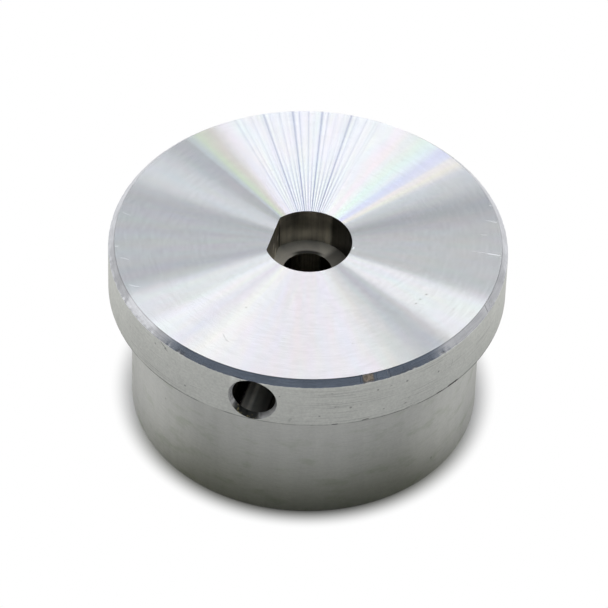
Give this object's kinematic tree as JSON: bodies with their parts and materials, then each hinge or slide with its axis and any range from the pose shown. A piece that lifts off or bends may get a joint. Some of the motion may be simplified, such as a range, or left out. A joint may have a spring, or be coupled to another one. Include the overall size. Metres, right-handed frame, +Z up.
{
  "type": "flanged hub",
  "caption": "Turned aluminium hub: a round body under a wider flange, with a shallow D-shaped socket in the faced top and a radial hole drilled in through the rim to meet it.",
  "frame": {"origin": "centre of the base", "axes": "+Z up the turning axis to the faced top, -Y out of the side hole, -X towards the socket's flat"},
  "size_m": [0.0544, 0.0544, 0.0282],
  "materials": {
    "turned_aluminium": "faced bright on top, satin as turned on the sides"
  },
  "bodies": {
    "root": {"flanged_hub": "turned_aluminium"}
  },
  "joints": []
}
